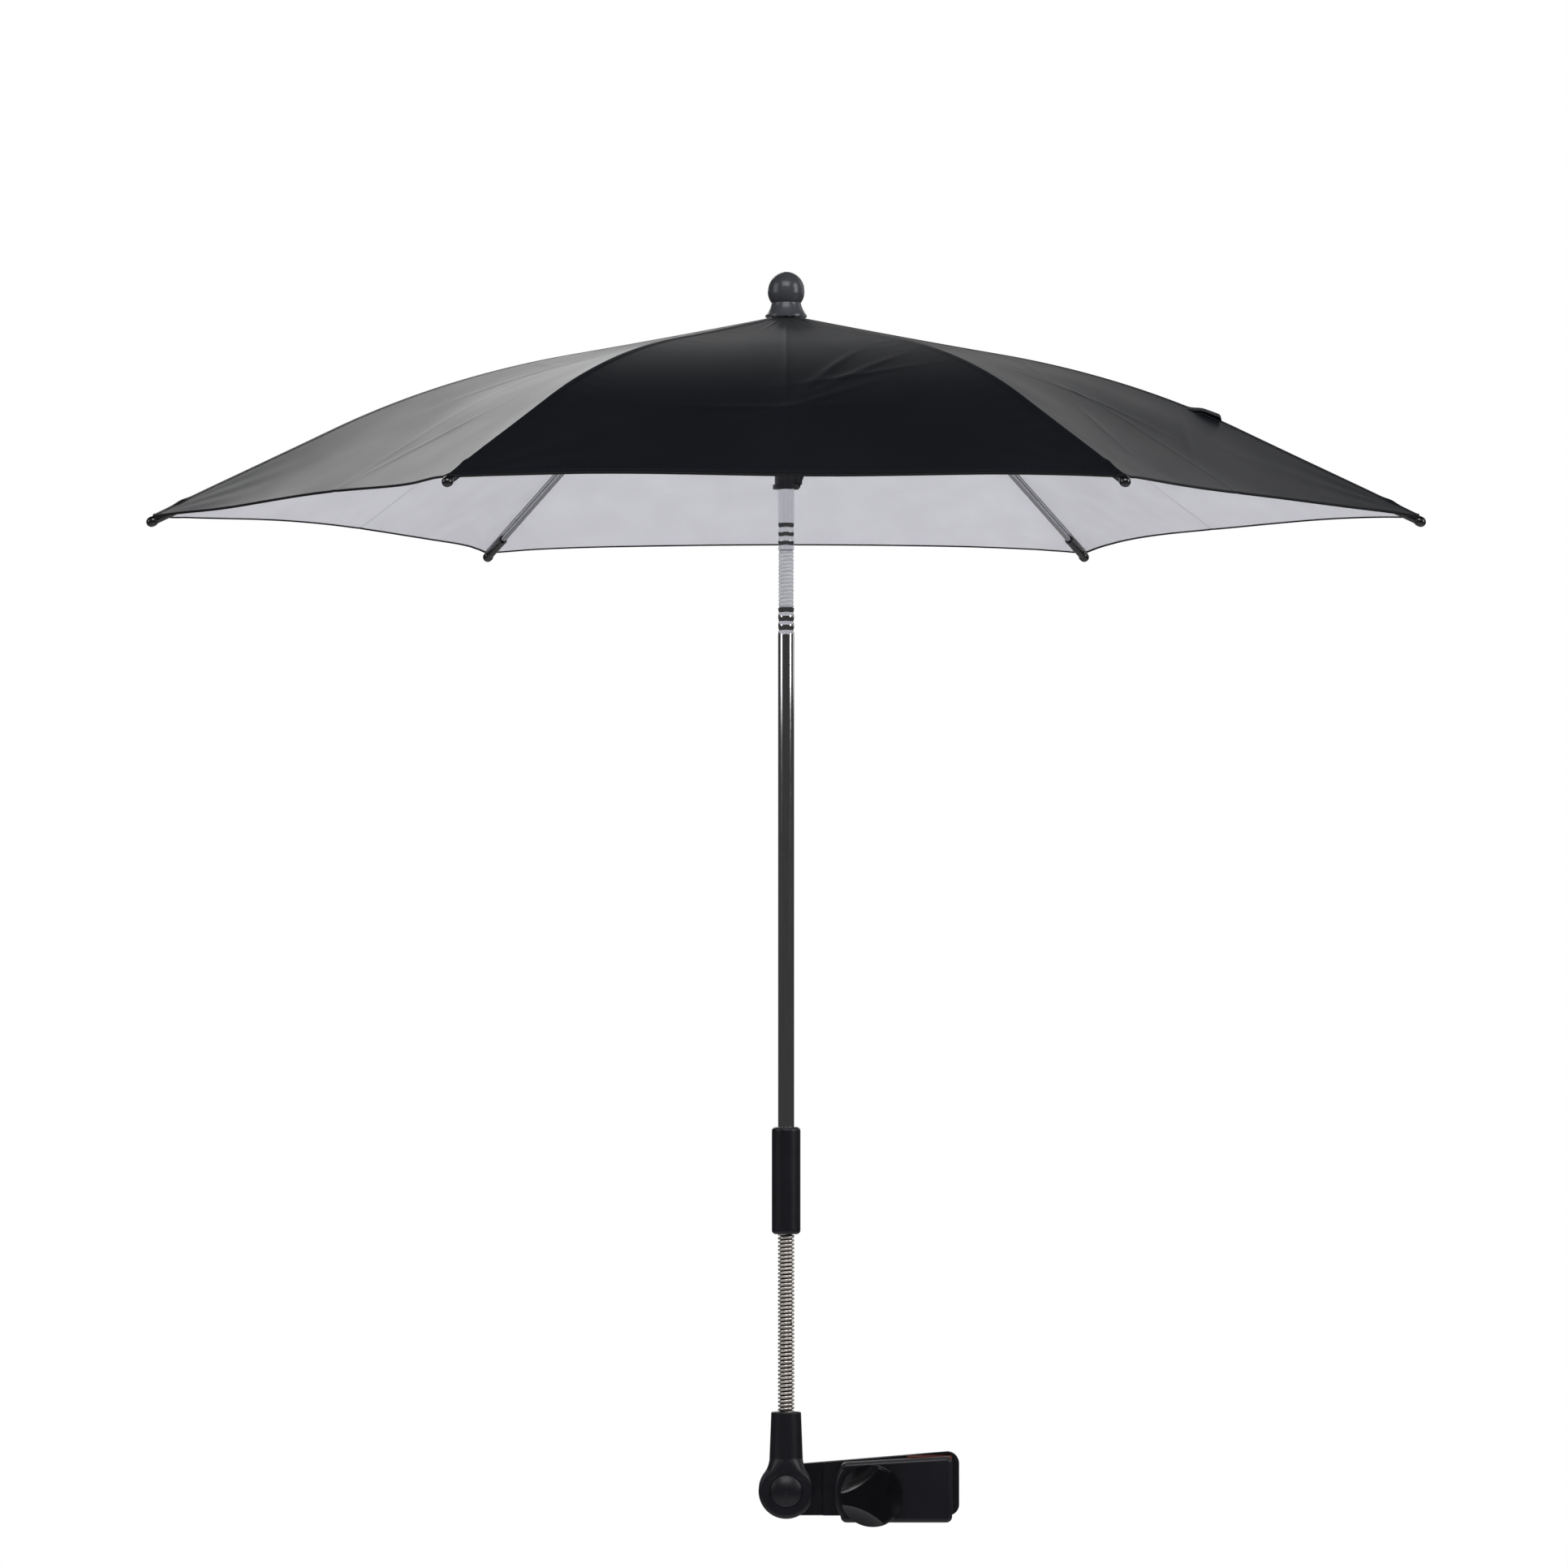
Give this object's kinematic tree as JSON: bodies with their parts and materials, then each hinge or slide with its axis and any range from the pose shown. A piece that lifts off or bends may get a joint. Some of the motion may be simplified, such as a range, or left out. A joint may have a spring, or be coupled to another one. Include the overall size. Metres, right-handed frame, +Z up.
{
  "type": "pram parasol",
  "caption": "Folding sunshade on a tilting tube and a bendable coil neck, with a push-button knuckle and a screw clamp for a pram tube.",
  "frame": {"origin": "centre of the pram tube that the clamp grips", "axes": "+Z up along the pram tube and the parasol's shaft, +X from the shaft to the clamp, +Y away from the viewer, into the back jaw"},
  "size_m": [0.727, 0.6304, 0.7107],
  "materials": {
    "black_plastic": "moulded black plastic",
    "gloss_black_plastic": "glossier moulded black plastic",
    "red_rubber": "matt reddish-brown rubber",
    "steel": "plain satin steel",
    "chrome_tube": "bright plated tube",
    "rib_steel": "bright drawn wire",
    "canopy_cloth": "black woven polyester with a silver coated inside"
  },
  "bodies": {
    "clamp": {"clamp_back_jaw": "black_plastic", "back_jaw_pad": "red_rubber", "clamp_screw": "steel", "knuckle_pin": "steel", "button_spring": "steel"},
    "front_jaw": {"clamp_front_jaw": "black_plastic", "front_jaw_pad": "red_rubber", "knob_washer": "steel"},
    "knob": {"clamp_knob": "gloss_black_plastic", "knob_nut": "steel"},
    "socket": {"knuckle_socket": "black_plastic"},
    "button": {"knuckle_button": "black_plastic"},
    "lock": {"lock_gear": "black_plastic"},
    "neck": {"neck_spring": "steel"},
    "lower_shaft": {"grip_sleeve": "black_plastic", "lower_tube": "chrome_tube"},
    "tilt": {"tilt_plug_lower": "black_plastic", "tilt_spring": "steel"},
    "upper_shaft": {"upper_tube": "chrome_tube", "tilt_plug_upper": "black_plastic", "crown": "black_plastic", "crown_wire": "steel", "finial": "gloss_black_plastic"},
    "rib_1": {"rib_1": "rib_steel", "rib_joint_1": "steel", "tip_1": "black_plastic", "canopy_panel_1": "canopy_cloth", "tie_strap": "canopy_cloth"},
    "rib_2": {"rib_2": "rib_steel", "rib_joint_2": "steel", "tip_2": "black_plastic", "canopy_panel_2": "canopy_cloth"},
    "rib_3": {"rib_3": "rib_steel", "rib_joint_3": "steel", "tip_3": "black_plastic", "canopy_panel_3": "canopy_cloth"},
    "rib_4": {"rib_4": "rib_steel", "rib_joint_4": "steel", "tip_4": "black_plastic", "canopy_panel_4": "canopy_cloth"},
    "rib_5": {"rib_5": "rib_steel", "rib_joint_5": "steel", "tip_5": "black_plastic", "canopy_panel_5": "canopy_cloth"},
    "rib_6": {"rib_6": "rib_steel", "rib_joint_6": "steel", "tip_6": "black_plastic", "canopy_panel_6": "canopy_cloth"},
    "stretcher_1": {"stretcher_1": "rib_steel"},
    "stretcher_2": {"stretcher_2": "rib_steel"},
    "stretcher_3": {"stretcher_3": "rib_steel"},
    "stretcher_4": {"stretcher_4": "rib_steel"},
    "stretcher_5": {"stretcher_5": "rib_steel"},
    "stretcher_6": {"stretcher_6": "rib_steel"},
    "runner": {"runner": "black_plastic", "runner_wire": "steel", "catch_spring": "steel"},
    "catch": {"runner_catch": "black_plastic"}
  },
  "joints": [
    {"name": "jaw_slide", "type": "slide", "parent": "clamp", "child": "front_jaw", "axis": [0, -1, 0], "range_m": [0, 0.008]},
    {"name": "knob_turn", "type": "hinge", "parent": "front_jaw", "child": "knob", "pos_m": [-0.033, -0.025, -0.0018], "axis": [0, -1, 0], "range_deg": [0, 1440]},
    {"name": "knuckle_tilt", "type": "hinge", "parent": "clamp", "child": "socket", "pos_m": [-0.081, 0, 0], "axis": [0, 1, 0], "range_deg": [-105, 30]},
    {"name": "button_press", "type": "slide", "parent": "socket", "child": "button", "axis": [0, 1, 0], "range_m": [0, 0.0034], "stiffness_N_per_m": 600, "springref_m": -0.002},
    {"name": "lock_slide", "type": "slide", "parent": "clamp", "child": "lock", "axis": [0, 1, 0], "range_m": [0, 0.0034], "deforming": ["button_spring"]},
    {"name": "neck_fore", "type": "hinge", "parent": "socket", "child": "neck", "pos_m": [-0.081, 0, 0.07], "axis": [1, 0, 0], "range_deg": [-40, 40], "deforming": ["neck_spring"]},
    {"name": "neck_side", "type": "hinge", "parent": "neck", "child": "lower_shaft", "pos_m": [-0.081, 0, 0.12], "axis": [0, 1, 0], "range_deg": [-40, 40]},
    {"name": "tilt_turn", "type": "hinge", "parent": "lower_shaft", "child": "tilt", "pos_m": [-0.081, 0, 0.5], "axis": [0, 0, 1], "range_deg": [-180, 180]},
    {"name": "tilt_bend", "type": "hinge", "parent": "tilt", "child": "upper_shaft", "pos_m": [-0.081, 0, 0.5165], "axis": [-1, 0, 0], "range_deg": [-50, 0], "deforming": ["tilt_spring"]},
    {"name": "canopy_fold", "type": "hinge", "parent": "upper_shaft", "child": "rib_1", "pos_m": [-0.072, 0, 0.6608], "axis": [0, 1, 0], "range_deg": [0, 66], "deforming": ["canopy_panel_1"]},
    {"name": "rib_2_fold", "type": "hinge", "parent": "upper_shaft", "child": "rib_2", "pos_m": [-0.0765, 0.00779, 0.6608], "axis": [-0.866, 0.5, 0], "range_deg": [0, 66], "deforming": ["canopy_panel_2"]},
    {"name": "rib_3_fold", "type": "hinge", "parent": "upper_shaft", "child": "rib_3", "pos_m": [-0.0855, 0.00779, 0.6608], "axis": [-0.866, -0.5, 0], "range_deg": [0, 66], "deforming": ["canopy_panel_3"]},
    {"name": "rib_4_fold", "type": "hinge", "parent": "upper_shaft", "child": "rib_4", "pos_m": [-0.09, 0, 0.6608], "axis": [0, -1, 0], "range_deg": [0, 66], "deforming": ["canopy_panel_4"]},
    {"name": "rib_5_fold", "type": "hinge", "parent": "upper_shaft", "child": "rib_5", "pos_m": [-0.0855, -0.00779, 0.6608], "axis": [0.866, -0.5, 0], "range_deg": [0, 66], "deforming": ["canopy_panel_5"]},
    {"name": "rib_6_fold", "type": "hinge", "parent": "upper_shaft", "child": "rib_6", "pos_m": [-0.0765, -0.00779, 0.6608], "axis": [0.866, 0.5, 0], "range_deg": [0, 66], "deforming": ["canopy_panel_6"]},
    {"name": "stretcher_1_fold", "type": "hinge", "parent": "rib_1", "child": "stretcher_1", "pos_m": [0.09921, 0, 0.62291], "axis": [0, 1, 0], "range_deg": [-132, 0]},
    {"name": "stretcher_2_fold", "type": "hinge", "parent": "rib_2", "child": "stretcher_2", "pos_m": [0.0091, 0.15607, 0.62291], "axis": [-0.866, 0.5, 0], "range_deg": [-132, 0]},
    {"name": "stretcher_3_fold", "type": "hinge", "parent": "rib_3", "child": "stretcher_3", "pos_m": [-0.1711, 0.15607, 0.62291], "axis": [-0.866, -0.5, 0], "range_deg": [-132, 0]},
    {"name": "stretcher_4_fold", "type": "hinge", "parent": "rib_4", "child": "stretcher_4", "pos_m": [-0.26121, 0, 0.62291], "axis": [0, -1, 0], "range_deg": [-132, 0]},
    {"name": "stretcher_5_fold", "type": "hinge", "parent": "rib_5", "child": "stretcher_5", "pos_m": [-0.1711, -0.15607, 0.62291], "axis": [0.866, -0.5, 0], "range_deg": [-132, 0]},
    {"name": "stretcher_6_fold", "type": "hinge", "parent": "rib_6", "child": "stretcher_6", "pos_m": [0.0091, -0.15607, 0.62291], "axis": [0.866, 0.5, 0], "range_deg": [-132, 0]},
    {"name": "runner_level", "type": "hinge", "parent": "stretcher_1", "child": "runner", "pos_m": [-0.072, 0, 0.58502], "axis": [0, 1, 0], "range_deg": [0, 66]},
    {"name": "catch_press", "type": "hinge", "parent": "runner", "child": "catch", "pos_m": [-0.0737, 0, 0.57262], "axis": [0, -1, 0], "range_deg": [0, 8], "stiffness_Nm_per_rad": 0.02, "springref_deg": -5.73, "deforming": ["catch_spring"]}
  ],
  "couplings": [
    {"joint": "knob_turn", "follows": "jaw_slide", "rad_per_m": 3141.6},
    {"joint": "lock_slide", "follows": "button_press", "ratio": 1},
    {"joint": "rib_2_fold", "follows": "canopy_fold", "ratio": 1},
    {"joint": "rib_3_fold", "follows": "canopy_fold", "ratio": 1},
    {"joint": "rib_4_fold", "follows": "canopy_fold", "ratio": 1},
    {"joint": "rib_5_fold", "follows": "canopy_fold", "ratio": 1},
    {"joint": "rib_6_fold", "follows": "canopy_fold", "ratio": 1},
    {"joint": "stretcher_1_fold", "follows": "canopy_fold", "ratio": -2},
    {"joint": "stretcher_2_fold", "follows": "canopy_fold", "ratio": -2},
    {"joint": "stretcher_3_fold", "follows": "canopy_fold", "ratio": -2},
    {"joint": "stretcher_4_fold", "follows": "canopy_fold", "ratio": -2},
    {"joint": "stretcher_5_fold", "follows": "canopy_fold", "ratio": -2},
    {"joint": "stretcher_6_fold", "follows": "canopy_fold", "ratio": -2},
    {"joint": "runner_level", "follows": "canopy_fold", "ratio": 1}
  ]
}
